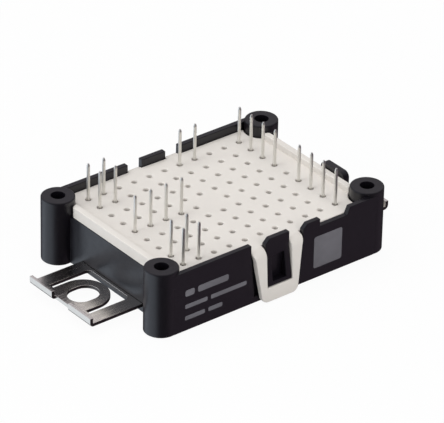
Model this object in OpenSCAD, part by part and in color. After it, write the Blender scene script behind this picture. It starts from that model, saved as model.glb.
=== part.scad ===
// Half-bridge power transistor module: black frame with four corner posts, ivory perforated
// lid held by two latch straps, 22 straight contact pins and two stamped screw clamps.
// Millimetres, +Z up. Origin at the centre of the face that lies on the heat sink.
// +X runs along the latch sides towards one clamp, -Y is the side with the notched wall.

/* [Body] */
// Height of the corner posts above the heat sink
body_h = 12.2; // [12:0.05:12.4]
// Radius of a corner post
post_r = 2.9; // [2.8:0.05:3]
// Distance of the post centres beyond the end walls
post_beyond = 0.7; // [0.5:0.05:0.8]
// Radius of the screw hole in a post
post_hole_r = 1.25; // [0.9:0.05:1.3]
// Depth of the screw hole in a post
post_hole_depth = 9; // [6:0.5:9.5]
// Rounding of the top edge of a post
post_round = 0.25; // [0.15:0.05:0.4]
// Wall beside the ceramic plate at the ends
end_skirt = 1.1; // [1:0.05:1.3]
// Wall beside the ceramic plate at the sides
side_skirt = 1; // [0.9:0.05:1.1]
// Thickness of a side wall beside the lid
side_wall_t = 1; // [0.9:0.05:1.1]
// Height of the side walls above the heat sink
wall_top = 11.5; // [11.2:0.05:11.7]
// Gap between the heat sink and the underside of the frame
frame_lift = 0.3; // [0.2:0.05:0.4]
// Length of the gusset between a post and the end wall
gusset_l = 1.7; // [1.2:0.1:1.9]
// How far a gusset stands out of the end wall beside the post
gusset_t = 0.3; // [0.2:0.05:0.4]

/* [Lid] */
// Height of the perforated face above the heat sink
lid_top = 10.1; // [9.9:0.05:10.3]
// Thickness of the lid plate
lid_t = 0.95; // [0.85:0.05:1.1]
// Height of the raised end rims above the perforated face
rim_h = 1.05; // [0.8:0.05:1.2]
// Width of the raised end rims
rim_w = 1.2; // [0.8:0.1:1.6]
// Gap between a post and the rounded corner of the lid
post_gap = 0.2; // [0.15:0.05:0.4]
// Rounding of the lid corners beside the posts
lid_corner = 0.6; // [0.3:0.1:0.8]
// Distance from the outer pin columns to the ends of the ceramic plate
grid_margin_x = 3.7; // [3.6:0.05:3.8]
// Distance from the outer pin rows to the sides of the ceramic plate
grid_margin_y = 3; // [2.95:0.05:3.1]
// Offset of the hole grid towards the left end
grid_shift = 0.24; // [0:0.02:0.3]
// Number of grid columns along the module
grid_nx = 11; // [11:1:11]
// Number of grid rows across the module
grid_ny = 9; // [9:1:9]
// Radius of a hole in the lid
lid_hole_r = 0.5; // [0.48:0.01:0.6]

/* [Latch] */
// Distance of the front strap from the middle, towards the notch
latch_x = 0.15; // [0:0.05:0.3]
// Half width of a strap where it leaves the lid
strap_half_root = 5.25; // [5.15:0.05:5.4]
// Half width of a strap below its bend
strap_half_top = 4.85; // [4.7:0.05:5]
// Half width of a strap at its foot
strap_half_foot = 3.85; // [3.7:0.05:4]
// Half width of the window in a strap
strap_window = 2.6; // [2.55:0.05:2.7]
// Height of the strap foot above the heat sink
strap_foot = 0.25; // [0.2:0.05:0.4]
// Height of the crossbar at the foot
strap_bar_h = 2.6; // [2.4:0.05:2.8]
// Thickness of a strap at its shoulder
strap_t = 1.1; // [1:0.05:1.2]
// Outward lean of the strap face from shoulder to foot
strap_lean = 0.55; // [0.4:0.05:0.7]
// Outer bend radius of a strap
strap_bend = 1.75; // [1.5:0.05:1.75]
// Rounding of the foot corners
strap_corner = 1.3; // [0.8:0.1:1.4]
// Depth of the groove that a strap lies in
groove_depth = 0.6; // [0.5:0.05:0.7]
// Height of the lower end of the groove
groove_foot = 1.5; // [1.4:0.05:1.8]
// Half width of the groove at its lower end
groove_half = 4.6; // [4.4:0.05:4.8]
// Half width of the catch inside the window
catch_half = 2.5; // [2.2:0.05:2.5]
// How far the catch stands out of the wall at its lower end
catch_out = 0.9; // [0.7:0.05:1]
// Height of the blunt lower edge of the catch
catch_lip = 0.4; // [0.2:0.05:0.6]
// Distance of the catch top below the gaps of the strap arms
catch_drop = 0.2; // [0.1:0.05:0.4]
// Half width of the pocket in the catch
pocket_half = 1.4; // [1:0.05:1.6]
// Depth of the pocket behind the wall face
pocket_depth = 0.6; // [0.3:0.05:0.7]
// Height of the bar below the pocket
pocket_sill = 0.7; // [0.6:0.05:1]
// Height of the web above the pocket
pocket_head = 0.7; // [0.5:0.05:0.9]
// Chamfer of the front wall ends to the right of the strap arms
gap_chamfer = 0.9; // [0.4:0.1:1.1]

/* [Wall features] */
// Start of the notch in the front wall
notch_x = 9.2; // [8.6:0.1:9.8]
// Length of the notch
notch_l = 5.8; // [5:0.1:6]
// Length of the ramp at the end of the notch
notch_ramp = 0.6; // [0.4:0.1:1]
// Near end of the raised lug on the right end wall
lug_y1 = -2.7; // [-3.2:0.1:-2]
// Far end of the raised lug
lug_y0 = -8.7; // [-9.2:0.1:-8]
// Thickness of the lug
lug_t = 1.3; // [1:0.1:1.6]
// Height of the lug above the heat sink
lug_top = 12; // [11.6:0.1:12.2]
// Rounding of the upper corners of the lug
lug_round = 1.1; // [0.5:0.1:1.4]
// Gap between the clamp sheet and the foot of the lug
lug_lift = 1; // [0.6:0.1:1.5]

/* [Clamps] */
// Overall length over both clamps
clamp_span = 63.2; // [62.8:0.1:63.6]
// Distance between the two clamp screws
screw_dx = 53.6; // [53.2:0.1:53.8]
// Half width of a clamp
clamp_half = 8.3; // [8:0.1:8.4]
// Thickness of the sheet
sheet_t = 0.6; // [0.5:0.05:0.7]
// Underside of the sheet above the heat sink
sheet_z = 1.4; // [1.3:0.05:1.6]
// Width of a side arm
arm_w = 2.8; // [2.6:0.1:3.2]
// Width of the strip along the outer edge
edge_w = 2; // [1.8:0.05:2.1]
// Width of the strip along the wall
root_w = 0.6; // [0.4:0.05:0.7]
// Half width of the screw slot
slot_r = 2.3; // [2.1:0.05:2.35]
// End-to-end length of the screw slot
slot_l = 5.6; // [5.2:0.1:5.8]
// Radius of the tongue around the slot
tongue_r = 4.45; // [4.2:0.05:4.6]
// Height of the turned-up edges above the sheet underside
flange_h = 1.6; // [1.3:0.1:1.8]
// Half of the gap between the two turned-up edges
flange_gap = 2.2; // [1.8:0.1:2.6]
// Outer radius of the bend of the turned-up edges
bend_r = 0.75; // [0.7:0.05:0.8]
// Rounding of the inner window corners
window_round = 0.9; // [0.5:0.1:1.2]
// Depth of the sheet inside the end wall
clamp_insert = 1.1; // [0.8:0.1:1.2]

/* [Pins] */
// Radius of a pin
pin_r = 0.28; // [0.25:0.01:0.32]
// Radius of the blunt end of a pin
pin_end_r = 0.16; // [0.1:0.01:0.2]
// Height of the pin tips above the heat sink
pin_top = 16.9; // [16.4:0.1:17.2]
// Length of the tapered tip
pin_tip = 0.4; // [0.3:0.05:0.8]
// Radius of a pin sleeve
sleeve_r = 0.85; // [0.8:0.05:0.95]
// Height of a pin sleeve
sleeve_h = 3; // [2.5:0.1:3.2]
// Radius of the sleeve foot
sleeve_foot_r = 1.15; // [1.1:0.05:1.2]
// Height of the sleeve foot
sleeve_foot_h = 0.35; // [0.25:0.05:0.5]

/* [Substrate] */
// Length of the ceramic plate
plate_l = 39.4; // [38.8:0.1:40]
// Width of the ceramic plate
plate_w = 31.6; // [31:0.1:32.4]
// Thickness of the ceramic plate
plate_t = 0.64; // [0.6:0.02:0.68]
// Thickness of the copper on both sides
copper_t = 0.3; // [0.25:0.01:0.35]
// Free ceramic border around the lower copper
copper_border = 0.8; // [0.6:0.1:1]
// Free ceramic border around the upper copper
island_border = 1.8; // [1.7:0.05:1.85]
// Gap between copper islands
island_gap = 0.6; // [0.5:0.05:0.7]
// Length of a signal pad
pad_l = 4.9; // [4.6:0.1:5.1]
// Distance from the pins of the sensor to the inner edge of its pads
sense_reach = 2.4; // [2.3:0.1:2.5]
// Width of a sensor pad beyond its pin
sense_side = 1.3; // [1.2:0.05:1.4]
// Length of the temperature sensor
sensor_l = 2; // [1.6:0.1:2.2]
// Width of the temperature sensor
sensor_w = 0.9; // [0.7:0.05:1]
// Height of the temperature sensor
sensor_h = 0.5; // [0.4:0.05:0.6]
// Edge length of a switching die
die_a = 4.2; // [3.8:0.1:4.4]
// Thickness of a switching die
die_t = 0.2; // [0.15:0.05:0.3]
// Distance of the dies from the edge of their island
die_edge = 1; // [0.8:0.1:1.2]
// Radius of a power bond wire
wire_r = 0.15; // [0.1:0.01:0.18]
// Distance between the power wires on a die
wire_dx = 0.85; // [0.7:0.05:0.9]
// Distance of a wire foot from the edge of the island it lands on
wire_land = 0.6; // [0.5:0.05:0.8]
// Length of a flattened wire foot
wire_foot_l = 0.7; // [0.5:0.05:0.8]
// Height of a flattened wire foot
wire_foot_h = 0.12; // [0.1:0.01:0.16]
// Extra width of a flattened wire foot
wire_flat = 0.1; // [0.05:0.01:0.15]
// Radius of a gate wire
gate_wire_r = 0.12; // [0.08:0.01:0.14]
// Distance of a gate wire from the middle of its die
gate_off = 1.5; // [1.3:0.05:1.6]
// Distance of a gate wire foot from the edge of its die
gate_edge = 0.5; // [0.45:0.05:0.6]
// Distance of the last gate wire foot from the edge of its pad
gate_land = 0.8; // [0.6:0.05:1]
// Width of the glued border of the ceramic plate
bead_w = 0.8; // [0.6:0.05:0.9]
// Thickness of the adhesive bead under the frame
bead_t = 0.1; // [0.08:0.01:0.15]
// Height of the gel surface above the heat sink
gel_top = 5.2; // [4.8:0.1:5.4]

/* [Clearances] */
// Gap between the lid and the walls beside it
lid_clear = 0.1; // [0.05:0.01:0.15]
// Gap between a strap and the wall face it hangs on
strap_clear = 0.15; // [0.1:0.01:0.2]
// Gap between the arms of a strap and the wall ends beside them
arm_clear = 0.2; // [0.1:0.01:0.3]
// Gap between a clamp sheet and its slot
sheet_clear = 0.02; // [0.01:0.01:0.05]
// Gap between the ceramic plate and the frame
plate_clear = 0.1; // [0.05:0.01:0.12]
// Gap between a pin and its sleeve
pin_clear = 0.01; // [0.005:0.005:0.02]
// Gap between the sensor and the inner edge of its pads
sensor_clear = 0.1; // [0.05:0.05:0.2]
// Gap around the gel
gel_clear = 0.02; // [0.01:0.01:0.05]

/* [Hidden] */
$fn = 48;
// Small overlap of cuts, depth of joints between solids and reach of cuts past a surface
eps = 0.01;
join = 0.2;
over = 1;
// Outer faces, posts and inner space of the frame, from the plate that it holds
end_face = plate_l / 2 + plate_clear + end_skirt;
side_face = plate_w / 2 + plate_clear + side_skirt;
post_x = end_face + post_beyond;
post_y = side_face - post_r;
cavity_x = plate_l / 2 - bead_w;
cavity_y = plate_w / 2 - bead_w;
lid_y = side_face - side_wall_t - lid_clear;
pitch_x = (plate_l - 2 * grid_margin_x) / (grid_nx - 1);
pitch_y = (plate_w - 2 * grid_margin_y) / (grid_ny - 1);
// Heights of the lid and of the layers of the plate
ledge_z = lid_top - lid_t;
rim_top = lid_top + rim_h;
plate_z = copper_t;
plate_top = plate_z + plate_t;
island_top = plate_top + copper_t;
die_top = island_top + die_t;
rebate_top = plate_top + bead_t;
// Strap, its gaps in the wall and its catch
gap_out = strap_half_root + arm_clear;
gap_floor = ledge_z - lid_clear;
catch_foot = strap_foot + strap_bar_h + lid_clear;
catch_head = gap_floor - catch_drop;
strap_in = side_face - groove_depth + strap_clear;
strap_in_foot = side_face + strap_clear;
strap_out = strap_in + strap_t;
bend_u = strap_out - strap_bend;
bend_z = lid_top - strap_bend;
// Clamps
sheet_top = sheet_z + sheet_t;
clamp_end = clamp_span / 2;
screw_x = screw_dx / 2;
slot_half = slot_l / 2 - slot_r;
// Pins and wires
pin_bore_r = pin_r + pin_clear;
pin_foot = island_top + sleeve_foot_h;
wires_per_die = 4;
wire_reach = die_a / 2 + die_edge + island_gap + wire_land;
// Grid columns of the three dies and of the two sensor pins
die_cols = [4.25, 6, 7.75];
sense_cols = [6, 7];

// Grid places of the pins, as column and row
PINS = [
  [0, 0], [1, 0], [0, 1], [1, 1], [6, 0], [7, 0],
  [10, 0], [10, 1], [10, 2], [10, 3], [10, 5], [10, 6], [10, 7], [10, 8],
  [0, 4], [1, 4], [2, 4], [3, 4], [0, 7], [1, 7], [0, 8], [1, 8]
];

function grid_x(c) = (c - (grid_nx - 1) / 2) * pitch_x - grid_shift;
function grid_y(r) = ((grid_ny - 1) / 2 - r) * pitch_y;

// Box between two corners
module block(x0, x1, y0, y1, z0, z1) {
  translate([x0, y0, z0])
    cube([x1 - x0, y1 - y0, z1 - z0]);
}

// Children at the four corner posts
module at_posts() {
  for (sx = [-1, 1])
    for (sy = [-1, 1])
      translate([sx * post_x, sy * post_y, 0])
        children();
}

// Profile in the outward and upward directions, extruded along X and placed on the front side
module along_x(x0, x1) {
  translate([x0, 0, 0])
    rotate([90, 0, 90])
      linear_extrude(x1 - x0)
        mirror([1, 0])
          children();
}

// Outline in X and Z, extruded from the depth u0 to u1 on the front side
module along_front(u0, u1) {
  translate([0, -u0, 0])
    rotate([90, 0, 0])
      linear_extrude(u1 - u0)
        children();
}

// Latch on the front side and the same turned round to the back
module both_sides() {
  for (turn = [0, 180])
    rotate([0, 0, turn])
      translate([latch_x, 0, 0])
        children();
}

// Solid of revolution of a post with a rounded top edge
module post() {
  rotate_extrude()
    union() {
      translate([0, frame_lift])
        square([post_r, body_h - post_round - frame_lift]);
      translate([0, body_h - post_round - eps])
        square([post_r - post_round, post_round + eps]);
      translate([post_r - post_round, body_h - post_round])
        intersection() {
          circle(post_round);
          square(post_round);
        }
    }
}

// Ramp that the strap bar snaps under
module catch_ramp() {
  along_x(-catch_half, catch_half)
    polygon([
      [side_face - groove_depth - join, catch_foot],
      [side_face + catch_out, catch_foot],
      [side_face + catch_out, catch_foot + catch_lip],
      [side_face, catch_head],
      [side_face - groove_depth - join, catch_head]
    ]);
}

// Pocket in the ramp and in the wall behind it
module catch_pocket() {
  block(-pocket_half, pocket_half, -side_face - catch_out - over, -side_face + pocket_depth,
    catch_foot + pocket_sill, catch_head - pocket_head);
}

// Groove in a side wall that a strap lies in, round the tab with the catch
module strap_groove() {
  difference() {
    along_front(side_face - groove_depth, side_face + catch_out + over)
      polygon([
        [-groove_half, groove_foot],
        [groove_half, groove_foot],
        [gap_out, gap_floor + eps],
        [-gap_out, gap_floor + eps]
      ]);
    along_front(side_face - groove_depth - over, side_face + catch_out + 2 * over)
      translate([-catch_half, catch_foot])
        square([2 * catch_half, body_h]);
  }
}

// Gaps in a side wall for the two arms of a strap
module strap_gaps() {
  for (s = [0, 1])
    mirror([s, 0, 0])
      along_front(side_face - side_wall_t - eps, side_face + over)
        translate([catch_half, gap_floor])
          square([gap_out - catch_half, wall_top + over - gap_floor]);
}

// Chamfered corners of the front wall to the right of each strap arm
module gap_chamfers() {
  for (x = [-catch_half, gap_out])
    along_front(side_face - side_wall_t - eps, side_face + over)
      translate([latch_x + x, wall_top])
        polygon([
          [-eps, -gap_chamfer - eps],
          [gap_chamfer, 0],
          [gap_chamfer, over],
          [-eps, over]
        ]);
}

// Gusset between a post and the end wall
module gussets() {
  reach = post_x - end_face - gusset_t;
  for (sx = [0, 1])
    for (sy = [0, 1])
      mirror([sx, 0, 0])
        mirror([0, sy, 0])
          translate([0, 0, frame_lift])
            linear_extrude(ledge_z - frame_lift)
              polygon([
                [end_face - join, post_y - post_r - gusset_l],
                [end_face, post_y - post_r - gusset_l],
                [end_face + gusset_t, post_y - sqrt(post_r * post_r - reach * reach) + eps],
                [end_face + gusset_t, post_y],
                [end_face - join, post_y]
              ]);
}

// Outline of the lug in Y and Z, with rounded upper corners
module lug_outline() {
  foot = sheet_top + lug_lift;
  translate([lug_y0, foot])
    square([lug_y1 - lug_y0, lug_top - lug_round - foot]);
  translate([lug_y0 + lug_round, foot])
    square([lug_y1 - lug_y0 - 2 * lug_round, lug_top - foot]);
  for (y = [lug_y0 + lug_round, lug_y1 - lug_round])
    translate([y, lug_top - lug_round])
      circle(lug_round);
}

module frame_body() {
  block(-end_face, end_face, -side_face, side_face, frame_lift, ledge_z);
  for (s = [0, 1])
    mirror([0, s, 0])
      block(-post_x, post_x, -side_face, -side_face + side_wall_t, ledge_z - eps, wall_top);
  at_posts()
    post();
  gussets();
  both_sides()
    catch_ramp();
  // Raised lug beside the rim on the right end
  block(end_face - join, end_face + lid_clear + eps, lug_y0, lug_y1, sheet_top + lug_lift, ledge_z);
  translate([end_face + lid_clear, 0, 0])
    rotate([90, 0, 90])
      linear_extrude(lug_t - lid_clear)
        lug_outline();
}

module housing_frame() {
  color([0.11, 0.1, 0.12])
    difference() {
      frame_body();
      // Inner space, leaving the posts whole
      difference() {
        block(-cavity_x, cavity_x, -cavity_y, cavity_y, 0, ledge_z + eps);
        at_posts()
          cylinder(r = post_r, h = body_h);
      }
      // Rebate for the ceramic plate
      block(-plate_l / 2 - plate_clear, plate_l / 2 + plate_clear,
        -plate_w / 2 - plate_clear, plate_w / 2 + plate_clear, 0, rebate_top);
      both_sides() {
        strap_groove();
        strap_gaps();
        catch_pocket();
      }
      gap_chamfers();
      // Notch in the front wall with a ramp at its end
      along_front(side_face - side_wall_t - eps, side_face + over)
        polygon([
          [notch_x, lid_top],
          [notch_x + notch_l, lid_top],
          [notch_x + notch_l + notch_ramp, wall_top],
          [notch_x + notch_l + notch_ramp, wall_top + over],
          [notch_x, wall_top + over]
        ]);
      // Slots of the clamps
      for (s = [-1, 1])
        translate([s * (end_face - clamp_insert / 2), 0, sheet_z + sheet_t / 2])
          cube([clamp_insert + 2 * sheet_clear, 2 * (clamp_half + sheet_clear),
            sheet_t + 2 * sheet_clear], center = true);
      at_posts()
        translate([0, 0, body_h - post_hole_depth])
          cylinder(r = post_hole_r, h = post_hole_depth + over);
    }
}

// Bent profile of a strap, outward and up
module strap_profile() {
  difference() {
    union() {
      translate([lid_y - over, ledge_z])
        square([bend_u - lid_y + over, lid_t]);
      translate([bend_u, bend_z])
        intersection() {
          circle(strap_bend);
          square(strap_bend);
        }
      polygon([
        [bend_u, bend_z],
        [strap_out, bend_z],
        [strap_out + strap_lean, strap_foot],
        [strap_in_foot, strap_foot],
        [strap_in_foot, groove_foot],
        [strap_in, bend_z - over],
        [bend_u, bend_z - over]
      ]);
    }
    translate([bend_u - over, 0])
      square([strap_in - bend_u + over, ledge_z]);
  }
}

// Outline of a strap seen from the front, with its window
module strap_outline() {
  cx = strap_half_foot - strap_corner;
  cz = strap_foot + strap_corner;
  side = [strap_half_top - cx, bend_z - cz];
  // Angle at which the slanting side runs into the rounded foot corner
  turn = atan2(side[1], side[0]) - acos(strap_corner / norm(side));
  difference() {
    union() {
      for (s = [0, 1])
        mirror([s, 0]) {
          polygon([
            [-eps, lid_top + over],
            [strap_half_root, lid_top + over],
            [strap_half_root, ledge_z + lid_t / 2],
            [strap_half_top, bend_z],
            [cx + strap_corner * cos(turn), cz + strap_corner * sin(turn)],
            [cx, cz],
            [cx, strap_foot],
            [-eps, strap_foot]
          ]);
          translate([cx, cz])
            circle(strap_corner);
        }
    }
    translate([-strap_window, strap_foot + strap_bar_h])
      square([2 * strap_window, lid_top + over]);
  }
}

module strap() {
  intersection() {
    along_x(-strap_half_root - over, strap_half_root + over)
      strap_profile();
    along_front(lid_y - over, strap_out + strap_lean + over)
      strap_outline();
  }
}

// Sharp lid corner beside a post, less the rounding that stays
module corner_cut() {
  r = post_r + post_gap;
  dx = post_x - end_face + lid_corner;
  dy = sqrt(pow(r + lid_corner, 2) - dx * dx);
  difference() {
    polygon([
      [end_face - lid_corner, post_y - dy],
      [end_face + over, post_y - dy],
      [post_x, post_y]
    ]);
    translate([end_face - lid_corner, post_y - dy])
      circle(lid_corner);
  }
}

module lid() {
  color([0.87, 0.86, 0.83])
    difference() {
      union() {
        block(-end_face, end_face, -lid_y, lid_y, ledge_z, lid_top);
        for (s = [0, 1])
          mirror([s, 0, 0])
            block(end_face - rim_w, end_face, -lid_y, lid_y, ledge_z, rim_top);
        both_sides()
          strap();
      }
      at_posts()
        cylinder(r = post_r + post_gap, h = body_h + over);
      for (sx = [0, 1])
        for (sy = [0, 1])
          mirror([sx, 0, 0])
            mirror([0, sy, 0])
              linear_extrude(body_h)
                corner_cut();
      for (c = [0:grid_nx - 1])
        for (r = [0:grid_ny - 1])
          if (c != (grid_nx - 1) / 2 || r != (grid_ny - 1) / 2)
            translate([grid_x(c), grid_y(r), ledge_z - over])
              cylinder(r = lid_hole_r, h = lid_t + 2 * over, $fn = 24);
    }
}

// Rounded window between the arms of the left clamp
module window_outline() {
  x0 = -clamp_end + edge_w;
  x1 = -end_face - root_w;
  y = clamp_half - arm_w;
  translate([x0, -y])
    square([x1 - x0 - window_round, 2 * y]);
  translate([x0, -y + window_round])
    square([x1 - x0, 2 * (y - window_round)]);
  for (s = [-1, 1])
    translate([x1 - window_round, s * (y - window_round)])
      circle(window_round);
}

// Sheet outline of the left clamp, drawn towards -X
module sheet_outline() {
  difference() {
    translate([-clamp_end + bend_r, -clamp_half])
      square([clamp_end - bend_r - end_face + clamp_insert, 2 * clamp_half]);
    difference() {
      window_outline();
      translate([-screw_x, 0])
        circle(tongue_r);
      translate([-clamp_end, -tongue_r])
        square([clamp_end - screw_x, 2 * tongue_r]);
    }
    // Screw slot
    for (s = [-1, 1])
      translate([-screw_x + s * slot_half, 0])
        circle(slot_r);
    translate([-screw_x - slot_half, -slot_r])
      square([2 * slot_half, 2 * slot_r]);
  }
}

// Bent edge of the left clamp in X and Z, with the flat part it grows out of
module flange_profile() {
  difference() {
    union() {
      translate([-clamp_end + bend_r, sheet_z + bend_r])
        intersection() {
          circle(bend_r);
          translate([-bend_r, -bend_r])
            square(bend_r);
        }
      translate([-clamp_end, sheet_z + bend_r])
        square([bend_r, flange_h - bend_r]);
      translate([-clamp_end + bend_r, sheet_z])
        square([bend_r, sheet_t]);
    }
    translate([-clamp_end + sheet_t, sheet_z + sheet_t])
      square([bend_r + over, flange_h]);
  }
}

module clamp_left() {
  color([0.62, 0.61, 0.59]) {
    translate([0, 0, sheet_z])
      linear_extrude(sheet_t)
        sheet_outline();
    // Turned-up edges
    for (s = [0, 1])
      mirror([0, s, 0])
        translate([0, clamp_half, 0])
          rotate([90, 0, 0])
            linear_extrude(clamp_half - flange_gap)
              flange_profile();
  }
}

module clamp_right() {
  rotate([0, 0, 180])
    clamp_left();
}

module substrate_ceramic() {
  color([0.93, 0.93, 0.9])
    block(-plate_l / 2, plate_l / 2, -plate_w / 2, plate_w / 2, plate_z, plate_top);
}

module base_copper() {
  color([0.78, 0.49, 0.32])
    block(-plate_l / 2 + copper_border, plate_l / 2 - copper_border,
      -plate_w / 2 + copper_border, plate_w / 2 - copper_border, 0, copper_t);
}

// One copper island on the plate
module island(x0, x1, y0, y1) {
  color([0.8, 0.52, 0.34])
    block(x0, x1, y0, y1, plate_top, island_top);
}

// Edges shared by the copper islands
pad_x1 = plate_l / 2 - island_border;
island_x0 = -pad_x1;
island_x1 = pad_x1 - pad_l - island_gap;
island_y = plate_w / 2 - island_border;
phase_y1 = grid_y(3);
phase_y0 = grid_y(5.5);
sense_x0 = grid_x(sense_cols[0]) - sense_side;
sense_x1 = grid_x(sense_cols[1]) + sense_side;
sense_mid = (sense_x0 + sense_x1) / 2;
sense_y0 = grid_y(0) - sense_reach;

module copper_plus() {
  difference() {
    island(island_x0, island_x1, phase_y1 + island_gap, island_y);
    block(sense_x0 - island_gap, sense_x1 + island_gap, sense_y0 - island_gap, island_y + over,
      0, island_top + over);
  }
}

module copper_phase() {
  island(island_x0, island_x1, phase_y0, phase_y1);
}

module copper_minus() {
  island(island_x0, island_x1, -island_y, phase_y0 - island_gap);
}

module signal_pads() {
  for (r = [0:grid_ny - 1])
    if (r != (grid_ny - 1) / 2)
      island(pad_x1 - pad_l, pad_x1, grid_y(r) - (pitch_y - island_gap) / 2,
        grid_y(r) + (pitch_y - island_gap) / 2);
}

module sense_pads() {
  island(sense_x0, sense_mid - island_gap / 2, sense_y0, island_y);
  island(sense_mid + island_gap / 2, sense_x1, sense_y0, island_y);
}

module sensor_chip() {
  color([0.25, 0.27, 0.26])
    block(sense_mid - sensor_l / 2, sense_mid + sensor_l / 2, sense_y0 + sensor_clear,
      sense_y0 + sensor_clear + sensor_w, island_top, island_top + sensor_h);
}

function die_x(i) = grid_x(die_cols[i - 1]);
die_y_high = phase_y1 + island_gap + die_edge + die_a / 2;
die_y_low = phase_y0 + die_edge + die_a / 2;

module die(i, y) {
  color([0.34, 0.37, 0.4])
    block(die_x(i) - die_a / 2, die_x(i) + die_a / 2, y - die_a / 2, y + die_a / 2, island_top, die_top);
}

// Flattened foot of a bond wire
module wire_foot(x, y, z, r, along_y) {
  l = along_y ? wire_foot_l : 2 * r + wire_flat;
  w = along_y ? 2 * r + wire_flat : wire_foot_l;
  block(x - w / 2, x + w / 2, y - l / 2, y + l / 2, z, die_top + wire_foot_h);
}

// Half ring of wire that stands on a die and on the island in front of it
module wire_loop(x, y) {
  translate([x, y - wire_reach / 2, die_top + wire_foot_h / 2])
    rotate([90, 0, 90])
      rotate_extrude(angle = 180)
        translate([wire_reach / 2, 0])
          circle(wire_r, $fn = 16);
  wire_foot(x, y, die_top, wire_r, true);
  wire_foot(x, y - wire_reach, island_top, wire_r, true);
}

module wire_row(y) {
  color([0.86, 0.87, 0.88])
    for (i = [1:3])
      for (k = [0:wires_per_die - 1])
        wire_loop(die_x(i) + (k - (wires_per_die - 1) / 2) * wire_dx, y);
}

module bond_wires_high() {
  wire_row(die_y_high);
}

module bond_wires_low() {
  wire_row(die_y_low);
}

// Half ring from one die to the next, or from the last die down to its pad
module gate_loop(x, y, reach, foot_z) {
  translate([x + reach / 2, y, die_top + wire_foot_h / 2])
    rotate([90, 0, 0])
      rotate_extrude(angle = 180)
        translate([reach / 2, 0])
          circle(gate_wire_r, $fn = 16);
  wire_foot(x, y, die_top, gate_wire_r, false);
  wire_foot(x + reach, y, foot_z, gate_wire_r, false);
}

// Gate wire foot on the right half of a die
function gate_x(i) = die_x(i) + die_a / 2 - gate_edge;

module gate_row(y) {
  color([0.86, 0.87, 0.88]) {
    for (i = [1:2])
      gate_loop(gate_x(i), y, die_x(i + 1) - die_x(i) - die_a + 2 * gate_edge, die_top);
    gate_loop(gate_x(3), y, pad_x1 - pad_l + gate_land - gate_x(3), island_top);
  }
}

module gate_wires() {
  gate_row(die_y_high + gate_off);
  gate_row(die_y_low - gate_off);
}

module sleeve() {
  difference() {
    union() {
      cylinder(r = sleeve_foot_r, h = sleeve_foot_h);
      cylinder(r = sleeve_r, h = sleeve_h);
    }
    translate([0, 0, sleeve_foot_h])
      cylinder(r = pin_bore_r, h = sleeve_h);
  }
}

module pin_sleeves() {
  color([0.72, 0.72, 0.7])
    for (p = PINS)
      translate([grid_x(p[0]), grid_y(p[1]), island_top])
        sleeve();
}

module pin(i) {
  color([0.75, 0.75, 0.73])
    translate([grid_x(PINS[i - 1][0]), grid_y(PINS[i - 1][1]), 0])
      rotate_extrude()
        polygon([
          [0, pin_foot],
          [pin_r, pin_foot],
          [pin_r, pin_top - pin_tip],
          [pin_end_r, pin_top],
          [0, pin_top]
        ]);
}

module adhesive_bead() {
  color([0.8, 0.8, 0.82])
    difference() {
      block(-plate_l / 2, plate_l / 2, -plate_w / 2, plate_w / 2, plate_top, rebate_top);
      block(-cavity_x, cavity_x, -cavity_y, cavity_y, 0, body_h);
    }
}

module silicone_gel() {
  color([0.8, 0.84, 0.86])
    difference() {
      block(-cavity_x + gel_clear, cavity_x - gel_clear, -cavity_y + gel_clear, cavity_y - gel_clear,
        plate_top, gel_top);
      at_posts()
        cylinder(r = post_r + gel_clear, h = body_h);
      copper_plus();
      copper_phase();
      copper_minus();
      signal_pads();
      sense_pads();
      sensor_chip();
      for (i = [1:3]) {
        die(i, die_y_high);
        die(i, die_y_low);
      }
      wire_row(die_y_high);
      wire_row(die_y_low);
      gate_wires();
      for (p = PINS)
        translate([grid_x(p[0]), grid_y(p[1]), island_top]) {
          cylinder(r = sleeve_foot_r, h = sleeve_foot_h);
          cylinder(r = sleeve_r, h = sleeve_h);
          cylinder(r = pin_bore_r, h = gel_top);
        }
    }
}

housing_frame();
lid();
clamp_left();
clamp_right();
substrate_ceramic();
base_copper();
copper_plus();
copper_phase();
copper_minus();
signal_pads();
sense_pads();
sensor_chip();
die(1, die_y_high);  // die_high_1
die(2, die_y_high);  // die_high_2
die(3, die_y_high);  // die_high_3
die(1, die_y_low);  // die_low_1
die(2, die_y_low);  // die_low_2
die(3, die_y_low);  // die_low_3
bond_wires_high();
bond_wires_low();
gate_wires();
pin_sleeves();
adhesive_bead();
silicone_gel();
pin(1);  // pin_01
pin(2);  // pin_02
pin(3);  // pin_03
pin(4);  // pin_04
pin(5);  // pin_05
pin(6);  // pin_06
pin(7);  // pin_07
pin(8);  // pin_08
pin(9);  // pin_09
pin(10);  // pin_10
pin(11);  // pin_11
pin(12);  // pin_12
pin(13);  // pin_13
pin(14);  // pin_14
pin(15);  // pin_15
pin(16);  // pin_16
pin(17);  // pin_17
pin(18);  // pin_18
pin(19);  // pin_19
pin(20);  // pin_20
pin(21);  // pin_21
pin(22);  // pin_22
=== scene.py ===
"""Looks of the power transistor module: rounded edges, plain print, finishes, studio and camera.

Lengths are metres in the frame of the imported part: +X runs along the latch sides, -Y is the
notched front wall, +Z is up and z = 0 is the face that lies on the heat sink.
"""
import math

import bmesh
import bpy
from mathutils import Matrix, Vector


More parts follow.
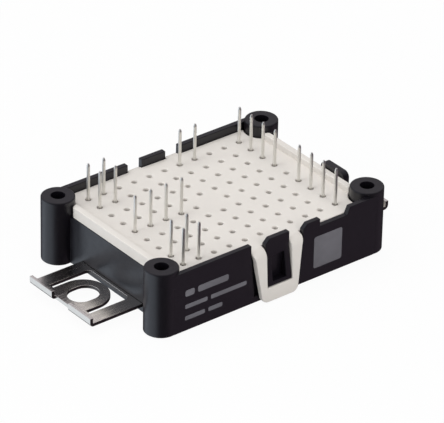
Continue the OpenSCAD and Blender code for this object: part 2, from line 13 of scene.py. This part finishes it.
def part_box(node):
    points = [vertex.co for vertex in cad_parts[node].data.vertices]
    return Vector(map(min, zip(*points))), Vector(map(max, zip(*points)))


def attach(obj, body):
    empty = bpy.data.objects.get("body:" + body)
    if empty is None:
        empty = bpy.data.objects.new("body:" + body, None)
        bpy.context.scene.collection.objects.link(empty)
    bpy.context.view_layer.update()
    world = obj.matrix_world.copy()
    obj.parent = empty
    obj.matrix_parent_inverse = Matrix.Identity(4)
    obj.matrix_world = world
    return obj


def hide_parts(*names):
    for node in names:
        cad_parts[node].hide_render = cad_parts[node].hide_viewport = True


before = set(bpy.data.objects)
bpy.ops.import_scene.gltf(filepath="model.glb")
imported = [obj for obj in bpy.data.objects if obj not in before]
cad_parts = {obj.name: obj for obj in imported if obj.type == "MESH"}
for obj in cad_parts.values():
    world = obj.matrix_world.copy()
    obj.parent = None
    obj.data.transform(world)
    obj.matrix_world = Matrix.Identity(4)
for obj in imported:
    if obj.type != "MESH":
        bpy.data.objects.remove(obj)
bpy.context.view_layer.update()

# What is shown under each name: the CAD node, or the piece that stands for it
shown = dict(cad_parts)

MM = 0.001

# Outer faces of the frame, and the step left where its side walls run into the posts
WALL_FACE = 16.9 * MM
END_FACE = 20.9 * MM
STEP = 0.1 * MM

# Rounding of the corners, and the shortest edge that is rounded
FRAME_ROUND = 0.12 * MM
FRAME_SHORTEST = 0.3 * MM
LID_ROUND = 0.15 * MM
LID_SHORTEST = 0.05 * MM
SHEET_ROUND = 0.06 * MM
SHEET_SHORTEST = 0.1 * MM
ROUND_SEGMENTS = 3
WELD = 0.001 * MM
CORNER_ANGLE = math.radians(40)
CREASE_ANGLE = math.radians(32)
FLAT_ANGLE = math.radians(0.3)

# Print on the front wall: plain bars in place of words, each line with its height above the heat
# sink, the height of its bars and their lengths
PRINT_PROUD = 0.015 * MM
PRINT_SUNK = 0.01 * MM
PRINT_LEFT = -18.9 * MM
WORD_GAP = 0.7 * MM
PRINT_LINES = (
    (7.4 * MM, 1.2 * MM, (1.9 * MM, 6.3 * MM)),
    (4.9 * MM, 0.8 * MM, (4.6 * MM, 7.4 * MM)),
    (2.7 * MM, 0.8 * MM, (4.1 * MM, 2.9 * MM)),
)
# Corner radius of a bar as a share of its height, and the straight pieces of a corner
BAR_ROUND = 0.3
CORNER_STEPS = 6
# Plain square field to the right of the strap
FIELD_X = 11.0 * MM
FIELD_Z = 5.3 * MM
FIELD_SIDE = 6.0 * MM
FIELD_CORNER = 0.4 * MM

# Colours, linear
BLACK_PLASTIC = (0.0066, 0.0054, 0.0082)
PRINT_GREY = (0.15, 0.145, 0.16)
IVORY = (0.775, 0.728, 0.676)
STEEL = (0.95, 0.91, 0.86)
# Painted shade for the outer faces of the clamp's turned-up edges, darker because of how light falls on
# them
SHADED_FLANGE_STEEL = (0.68, 0.635, 0.575)
# Sheared edges of the clamp: their own dull fracture, made darker still as painted shade
SHADED_SHEARED_STEEL = (0.11, 0.10, 0.095)
TIN = (0.88, 0.87, 0.83)
COPPER = (0.78, 0.36, 0.20)
CERAMIC = (0.82, 0.82, 0.79)
SILICON = (0.11, 0.12, 0.14)
ALUMINIUM = (0.86, 0.87, 0.88)
GLUE = (0.55, 0.55, 0.56)
GEL = (0.86, 0.90, 0.92)
HAZY_GEL = tuple(0.96 * part for part in GEL)
WHITE = (1, 1, 1)

# Surface noise, in features per metre, and the depth of the relief that it makes
CLOUD_SCALE = 260
GLOSS_SCALE = 900
GRAIN_SCALE = 5200
GRAIN_DEPTH = 0.004 * MM
STREAK_SCALE = 2600
STREAK_DEPTH = 0.0012 * MM
STAIN_SCALE = 330
HAZE_SCALE = 400
SPECKLE_SCALE = 40
# Span around the middle of the noise that is put to use
NOISE_LOW = 0.3
NOISE_HIGH = 0.7
# Stretch that turns noise into streaks along an axis
ALONG_X = (0.03, 1, 1)
ALONG_Z = (1, 1, 0.03)

# Clamp sheet: parts of the normal that tell upright and outward faces, and the depth of the bends
UPRIGHT_Z = 0.5
OUTWARD_X = 0.7
BEND_DEPTH = 1.0 * MM
SHEARED_ROUGHNESS = 0.5

# Camera, found by fitting the photo: where it aims, how far it stands and how it is turned
AIM = Vector((1.73, -0.346, 7.63)) * MM
DISTANCE = 678.49 * MM
AZIMUTH = 39.019
ELEVATION = 30.801
ROLL = 1.238
LENS = 330.34
SENSOR_WIDTH = 36
NEAREST = 0.01
FARTHEST = 20

# Floor: its size, its gap below the object, two near greys and how far it shows as plain white
FLOOR_SIZE = 6
FLOOR_GAP = 0.02 * MM
FLOOR_GREY = (0.80, 0.80, 0.80)
FLOOR_SPECKLE = (0.82, 0.82, 0.82)
FLOOR_WHITE = 0.95

# Light from all around, and the dim room that polished surfaces mirror instead
SKY_COLOUR = (0.97, 0.985, 1.0)
SKY_STRENGTH = 0.5
ROOM_COLOUR = (1.0, 0.84, 0.97)
ROOM_STRENGTH = 0.06
# Brighter parts of the room: each fades in between two cosines of the angle to its direction
ROOM_GLOWS = (
    # Mirrored by the end wall and the left of the posts
    dict(towards=(-0.78, 0.36, -0.515), start=0.55, full=0.92, strength=1.15, colour=(0.81, 0.91, 1.02)),
    # Mirrored by the front wall
    dict(towards=(0.62, -0.60, -0.515), start=0.7, full=0.97, strength=0.14, colour=(1.0, 0.72, 0.97)),
    # Mirrored by faces that look up
    dict(towards=(0.30, 0.45, 0.84), start=0.1, full=0.9, strength=0.45, colour=(0.95, 0.92, 0.97)),
    # Mirrored by the end wall by way of the clamp
    dict(towards=(-0.68, 0.54, 0.50), start=0.6, full=0.95, strength=0.36, colour=(0.74, 0.87, 1.0)),
)

# Sockets of a colour Mix node: its factor, its two colours and its result
MIX_FACTOR = 0
MIX_FIRST = 6
MIX_SECOND = 7
MIX_RESULT = 2


class Nodes:
    """A node tree whose nodes are added one at a time."""

    def __init__(self, tree):
        self.tree = tree

    def feed(self, socket, value):
        """Links a socket to another one or sets its value."""
        if isinstance(value, bpy.types.NodeSocket):
            self.tree.links.new(value, socket)
        elif isinstance(value, tuple) and len(value) == 3 and socket.type == "RGBA":
            socket.default_value = (*value, 1)
        else:
            socket.default_value = value

    def add(self, kind, inputs=None, **settings):
        """A new shader node with its settings and inputs."""
        node = self.tree.nodes.new("ShaderNode" + kind)
        for name, value in settings.items():
            setattr(node, name, value)
        for key, value in (inputs or {}).items():
            self.feed(node.inputs[key], value)
        return node

    def math(self, operation, first, second=0.0):
        """Result of one arithmetic step."""
        return self.add("Math", {0: first, 1: second}, operation=operation).outputs[0]

    def either(self, factor, first, second):
        """Mix of two shaders."""
        return self.add("MixShader", {0: factor, 1: first, 2: second}).outputs[0]

    def axes(self, vector):
        """The three parts of a vector."""
        return self.add("SeparateXYZ", {0: vector}).outputs


class Finish(Nodes):
    """A procedural material."""

    def __init__(self, name):
        self.material = bpy.data.materials.new(name)
        self.material.use_nodes = True
        super().__init__(self.material.node_tree)
        self.shader = self.tree.nodes["Principled BSDF"]

    def set(self, **inputs):
        """Inputs of the main shader, with underscores for the spaces in their names."""
        for key, value in inputs.items():
            self.feed(self.shader.inputs[key.replace("_", " ")], value)

    def noise(self, scale, detail, stretch=(1, 1, 1)):
        """Noise in object space."""
        place = self.add("TexCoord").outputs["Object"]
        mapped = self.add("Mapping", {"Vector": place, "Scale": stretch})
        inputs = {"Vector": mapped.outputs["Vector"], "Scale": scale, "Detail": detail}
        return self.add("TexNoise", inputs).outputs["Fac"]

    def spread(self, value, low=0.0, high=1.0):
        """Maps noise around its middle to the span from low to high."""
        inputs = {
            "Value": value,
            "From Min": NOISE_LOW,
            "From Max": NOISE_HIGH,
            "To Min": low,
            "To Max": high,
        }
        return self.add("MapRange", inputs).outputs["Result"]

    def tint(self, factor, first, second):
        """Blend of two colours."""
        inputs = {MIX_FACTOR: factor, MIX_FIRST: first, MIX_SECOND: second}
        return self.add("Mix", inputs, data_type="RGBA").outputs[MIX_RESULT]

    def soft_edges(self, radius):
        """Normal that is rounded at the edges."""
        return self.add("Bevel", {"Radius": radius}, samples=8).outputs["Normal"]

    def relief(self, height, depth, edge):
        """Fine relief on top of rounded edges."""
        inputs = {
            "Height": height,
            "Distance": depth,
            "Strength": 1.0,
            "Normal": self.soft_edges(edge),
        }
        return self.add("Bump", inputs).outputs["Normal"]


def shades(colour, change):
    """A colour made a little darker and a little lighter."""
    darker = tuple(part * (1 - change) for part in colour)
    lighter = tuple(min(1, part * (1 + change)) for part in colour)
    return darker, lighter


def moulded(name, colour, roughness, edge, specular=0.5, change=0.06):
    """Injection-moulded plastic with a faint grain and slightly uneven gloss."""
    finish = Finish(name)
    clouds = finish.noise(CLOUD_SCALE, detail=4)
    gloss = finish.noise(GLOSS_SCALE, detail=5)
    grain = finish.noise(GRAIN_SCALE, detail=2)
    finish.set(
        Base_Color=finish.tint(finish.spread(clouds), *shades(colour, change)),
        Roughness=finish.spread(gloss, roughness - 0.04, roughness + 0.04),
        Specular_IOR_Level=specular,
        Normal=finish.relief(grain, GRAIN_DEPTH, edge),
    )
    return finish


def metal(name, colour, roughness, edge, streaks, change=0.05):
    """Plated metal with fine drawing lines along one direction."""
    finish = Finish(name)
    lines = finish.noise(STREAK_SCALE, detail=4, stretch=streaks)
    stains = finish.noise(STAIN_SCALE, detail=4)
    finish.set(
        Base_Color=finish.tint(finish.spread(stains), *shades(colour, change)),
        Metallic=1.0,
        Roughness=finish.spread(lines, roughness - 0.05, roughness + 0.06),
        Normal=finish.relief(lines, STREAK_DEPTH, edge),
    )
    return finish


def sheet_steel():
    """Bright sheet with painted shade on the outer faces of its turned-up edges, and sheared edges that
    are dark partly from their own rough fracture and partly from painted shade.
    """
    finish = metal("clamp_steel", STEEL, roughness=0.22, edge=0.05 * MM, streaks=ALONG_X)
    here = finish.add("TexCoord").outputs
    facing = finish.axes(here["Normal"])
    place = finish.axes(here["Object"])
    bend_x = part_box("clamp_right")[1][0] - BEND_DEPTH
    upright = finish.math("LESS_THAN", finish.math("ABSOLUTE", facing["Z"]), UPRIGHT_Z)
    outward = finish.math("GREATER_THAN", finish.math("ABSOLUTE", facing["X"]), OUTWARD_X)
    at_end = finish.math("GREATER_THAN", finish.math("ABSOLUTE", place["X"]), bend_x)
    # Painted shade on the outward faces at the ends of the sheet, picked out by their normal
    bent = finish.math("MULTIPLY", outward, at_end)
    # Upright faces other than those outer faces are the sheared edges: rough as their own fracture, and
    # dark partly from that and partly as painted shade
    sheared = finish.math("GREATER_THAN", upright, bent)
    overlays = (
        ("Base Color", bent, SHADED_FLANGE_STEEL),
        ("Base Color", sheared, SHADED_SHEARED_STEEL),
        ("Roughness", sheared, (SHEARED_ROUGHNESS,) * 3),
    )
    for key, where, over in overlays:
        socket = finish.shader.inputs[key]
        under = socket.links[0].from_socket
        finish.feed(socket, finish.tint(where, under, over))
    return finish


def clear_gel():
    """Soft clear filling around the wires."""
    finish = Finish("clear_gel")
    haze = finish.noise(HAZE_SCALE, detail=3)
    finish.set(
        Base_Color=finish.tint(finish.spread(haze), GEL, HAZY_GEL),
        Roughness=finish.spread(haze, 0.06, 0.12),
        Transmission_Weight=0.95,
        IOR=1.41,
    )
    return finish


def add_piece(name, mesh):
    """A new object of the module, made from a mesh under construction."""
    data = bpy.data.meshes.new(name)
    mesh.to_mesh(data)
    mesh.free()
    piece = bpy.data.objects.new(name, data)
    bpy.context.scene.collection.objects.link(piece)
    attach(piece, "root")
    return piece


def is_corner(edge, radius, shortest):
    """True for an outer corner with room for the rounding on both sides."""
    length = edge.calc_length()
    sharp = edge.is_convex and edge.calc_face_angle() > CORNER_ANGLE
    roomy = all(face.calc_area() > 2 * radius * length for face in edge.link_faces)
    return sharp and roomy and length > shortest


def join_walls_to_posts(mesh):
    """Closes the hair-thin step where a side wall runs into the round of a post."""
    close = STEP / 10
    at_end = [vert for vert in mesh.verts if abs(abs(vert.co.x) - END_FACE) < close]
    wall = [vert for vert in at_end if abs(vert.co.y) > WALL_FACE - close]
    post = [vert for vert in at_end if WALL_FACE - STEP < abs(vert.co.y) < WALL_FACE - close]
    target = {}
    for vert in post:
        nearest = min(wall, key=lambda other: (other.co - vert.co).length)
        if (nearest.co - vert.co).length < STEP:
            target[vert] = nearest
    bmesh.ops.weld_verts(mesh, targetmap=target)


def soften(name, radius, shortest):
    """Shows a CAD node with rounded corners: a copy of its mesh with bevelled edges."""
    mesh = bmesh.new()
    mesh.from_mesh(shown[name].data)
    bmesh.ops.remove_doubles(mesh, verts=mesh.verts, dist=WELD)
    if name == "housing_frame":
        join_walls_to_posts(mesh)
    bmesh.ops.dissolve_limit(mesh, angle_limit=FLAT_ANGLE, verts=mesh.verts, edges=mesh.edges)
    corners = [edge for edge in mesh.edges if is_corner(edge, radius, shortest)]
    bmesh.ops.bevel(
        mesh, geom=corners, offset=radius, segments=ROUND_SEGMENTS, profile=0.5, affect="EDGES"
    )
    for face in mesh.faces:
        face.smooth = True
    for edge in mesh.edges:
        edge.smooth = edge.calc_face_angle() < CREASE_ANGLE
    piece = add_piece(name + "_rounded", mesh)
    # Normals carried over from the CAD mesh no longer fit
    stale = piece.data.attributes.get("custom_normal")
    if stale:
        piece.data.attributes.remove(stale)
    shading = piece.modifiers.new("flat_faces", "WEIGHTED_NORMAL")
    shading.keep_sharp = True
    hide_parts(name)
    shown[name] = piece


def rounded_plate(mesh, x, z, width, height, corner):
    """Adds a thin plate with round corners that stands a little proud of the front wall."""
    front = []
    back = []
    for quarter, (side_x, side_z) in enumerate(((1, 1), (-1, 1), (-1, -1), (1, -1))):
        centre_x = x + side_x * (width / 2 - corner)
        centre_z = z + side_z * (height / 2 - corner)
        for step in range(CORNER_STEPS + 1):
            turn = math.pi / 2 * (quarter + step / CORNER_STEPS)
            rim_x = centre_x + corner * math.cos(turn)
            rim_z = centre_z + corner * math.sin(turn)
            front.append(mesh.verts.new((rim_x, -WALL_FACE - PRINT_PROUD, rim_z)))
            back.append(mesh.verts.new((rim_x, -WALL_FACE + PRINT_SUNK, rim_z)))
    mesh.faces.new(front)
    mesh.faces.new(back)
    for place in range(len(front)):
        mesh.faces.new((front[place - 1], front[place], back[place], back[place - 1]))


def front_print():
    """Plain grey marks on the front wall: bars in place of words and one plain field."""
    mesh = bmesh.new()
    for z, height, words in PRINT_LINES:
        left = PRINT_LEFT
        for width in words:
            rounded_plate(mesh, left + width / 2, z, width, height, BAR_ROUND * height)
            left += width + WORD_GAP
    rounded_plate(mesh, FIELD_X, FIELD_Z, FIELD_SIDE, FIELD_SIDE, FIELD_CORNER)
    bmesh.ops.recalc_face_normals(mesh, faces=mesh.faces)
    shown["front_print"] = add_piece("front_print", mesh)


def paint(names, finish):
    """One finish on several nodes or on the pieces that stand for them."""
    for name in names:
        piece = shown[name]
        piece.data.materials.clear()
        piece.data.materials.append(finish.material)


def dress_plastic():
    """Finishes of the frame, its print and the lid."""
    black = moulded("frame_plastic", BLACK_PLASTIC, roughness=0.34, edge=0.1 * MM)
    grey = moulded("print_grey", PRINT_GREY, roughness=0.5, edge=0.01 * MM, specular=0.3, change=0.12)
    ivory = moulded("lid_plastic", IVORY, roughness=0.5, edge=0.08 * MM, specular=0.4, change=0.015)
    paint(["housing_frame"], black)
    paint(["front_print"], grey)
    paint(["lid"], ivory)


def dress_metal():
    """Finishes of clamps, pins, sleeves, copper and bond wires."""
    pins = sorted(name for name in shown if name.startswith("pin_") and name != "pin_sleeves")
    wires = ["bond_wires_high", "bond_wires_low", "gate_wires"]
    islands = ["base_copper", "copper_plus", "copper_phase", "copper_minus", "signal_pads", "sense_pads"]
    tin = metal("pin_metal", TIN, roughness=0.48, edge=0.07 * MM, streaks=ALONG_Z)
    sleeve = metal("sleeve_metal", TIN, roughness=0.3, edge=0.05 * MM, streaks=ALONG_Z)
    copper = metal("bare_copper", COPPER, roughness=0.32, edge=0.03 * MM, streaks=ALONG_X)
    aluminium = metal("wire_aluminium", ALUMINIUM, roughness=0.3, edge=0.02 * MM, streaks=ALONG_X)
    paint(["clamp_left", "clamp_right"], sheet_steel())
    paint(pins, tin)
    paint(["pin_sleeves"], sleeve)
    paint(islands, copper)
    paint(wires, aluminium)


def dress_inside():
    """Finishes of the plate, the chips, the glue and the gel."""
    dies = sorted(name for name in shown if name.startswith("die_"))
    ceramic = moulded("white_ceramic", CERAMIC, roughness=0.55, edge=0.03 * MM)
    sensor = moulded("sensor_body", SILICON, roughness=0.45, edge=0.03 * MM)
    crystal = moulded("die_crystal", SILICON, roughness=0.18, edge=0.01 * MM, specular=0.8)
    glue = moulded("adhesive", GLUE, roughness=0.5, edge=0.03 * MM)
    paint(["substrate_ceramic"], ceramic)
    paint(["sensor_chip"], sensor)
    paint(dies, crystal)
    paint(["adhesive_bead"], glue)
    paint(["silicone_gel"], clear_gel())


def studio_floor():
    """White floor with a faint shadow, left out of mirror images so that they show the room."""
    bpy.ops.mesh.primitive_plane_add(size=FLOOR_SIZE, location=(0, 0, -FLOOR_GAP))
    floor = bpy.context.object
    floor.name = "studio_floor"
    finish = Finish("floor_paint")
    finish.tree.nodes.remove(finish.shader)
    speckle = finish.spread(finish.noise(SPECKLE_SCALE, detail=2))
    tone = finish.tint(speckle, FLOOR_GREY, FLOOR_SPECKLE)
    matte = finish.add("BsdfDiffuse", {"Color": tone}).outputs[0]
    white = finish.add("Emission", {"Color": WHITE, "Strength": 1.0}).outputs[0]
    clear = finish.add("BsdfTransparent").outputs[0]
    rays = finish.add("LightPath").outputs
    to_camera = finish.either(FLOOR_WHITE, matte, white)
    to_most = finish.either(rays["Is Camera Ray"], matte, to_camera)
    surface = finish.either(rays["Is Glossy Ray"], to_most, clear)
    finish.feed(finish.tree.nodes["Material Output"].inputs["Surface"], surface)
    floor.data.materials.append(finish.material)


def room_glow(room, direction, towards, start, full, strength, colour):
    """Light of one brighter part of the room."""
    aim = {0: direction, 1: Vector(towards).normalized()}
    nearness = room.add("VectorMath", aim, operation="DOT_PRODUCT").outputs["Value"]
    fade = {"Value": nearness, "From Min": start, "From Max": full, "To Min": 0.0, "To Max": strength}
    bright = room.add("MapRange", fade, interpolation_type="SMOOTHSTEP").outputs["Result"]
    return room.add("Background", {"Color": colour, "Strength": bright}).outputs[0]


def studio_world():
    """White to the camera, soft even light, and in mirror images a dim room with brighter parts."""
    world = bpy.data.worlds.new("studio_world")
    bpy.context.scene.world = world
    world.use_nodes = True
    world.node_tree.nodes.clear()
    room = Nodes(world.node_tree)
    rays = room.add("LightPath").outputs
    direction = room.add("TexCoord").outputs["Generated"]
    mirrored = room.add("Background", {"Color": ROOM_COLOUR, "Strength": ROOM_STRENGTH}).outputs[0]
    for glow in ROOM_GLOWS:
        light = room_glow(room, direction, **glow)
        mirrored = room.add("AddShader", {0: mirrored, 1: light}).outputs[0]
    even = room.add("Background", {"Color": SKY_COLOUR, "Strength": SKY_STRENGTH}).outputs[0]
    white = room.add("Background", {"Color": WHITE, "Strength": 1.0}).outputs[0]
    to_most = room.either(rays["Is Glossy Ray"], even, mirrored)
    surface = room.either(rays["Is Camera Ray"], to_most, white)
    room.feed(room.add("OutputWorld").inputs["Surface"], surface)


def softbox(name, direction, distance, size, power, colour=WHITE):
    """Square area light that looks at the object; mirror images show the room instead."""
    data = bpy.data.lights.new(name, "AREA")
    data.shape = "SQUARE"
    data.size = size
    data.energy = power
    data.color = colour
    lamp = bpy.data.objects.new(name, data)
    bpy.context.scene.collection.objects.link(lamp)
    towards = Vector(direction).normalized()
    lamp.location = AIM + towards * distance
    lamp.rotation_mode = "QUATERNION"
    lamp.rotation_quaternion = towards.to_track_quat("Z", "Y")
    lamp.visible_glossy = False


def studio_lights():
    """Large soft lamps: one overhead, one from the left and one at the front."""
    softbox("overhead", (-0.15, 0.25, 1), distance=0.7, size=0.6, power=2.15)
    softbox("left_side", (-1, 0.2, 0.45), distance=0.7, size=0.5, power=1.75, colour=(0.91, 0.96, 1))
    softbox("front_fill", (0.1, -1, 0.5), distance=0.9, size=0.5, power=2.0)


def photo_camera():
    """Camera at the place from which the photo was taken."""
    data = bpy.data.cameras.new("photo_camera")
    data.sensor_fit = "HORIZONTAL"
    data.sensor_width = SENSOR_WIDTH
    data.lens = LENS
    data.clip_start = NEAREST
    data.clip_end = FARTHEST
    camera = bpy.data.objects.new("photo_camera", data)
    bpy.context.scene.collection.objects.link(camera)
    azimuth, elevation, roll = (math.radians(angle) for angle in (AZIMUTH, ELEVATION, ROLL))
    upwards = Vector((0, 0, 1))
    level = Vector((math.sin(azimuth), math.cos(azimuth), 0))
    forward = level * math.cos(elevation) - upwards * math.sin(elevation)
    flat_right = forward.cross(upwards).normalized()
    flat_up = flat_right.cross(forward)
    right = flat_right * math.cos(roll) + flat_up * math.sin(roll)
    up = right.cross(forward)
    turned = Matrix((right, up, -forward)).transposed().to_4x4()
    camera.matrix_world = Matrix.Translation(AIM - forward * DISTANCE) @ turned
    bpy.context.scene.camera = camera


soften("housing_frame", FRAME_ROUND, FRAME_SHORTEST)
soften("lid", LID_ROUND, LID_SHORTEST)
for sheet in ("clamp_left", "clamp_right"):
    soften(sheet, SHEET_ROUND, SHEET_SHORTEST)
front_print()
dress_plastic()
dress_metal()
dress_inside()
studio_floor()
studio_world()
studio_lights()
photo_camera()
bpy.context.scene.view_settings.view_transform = "Standard"
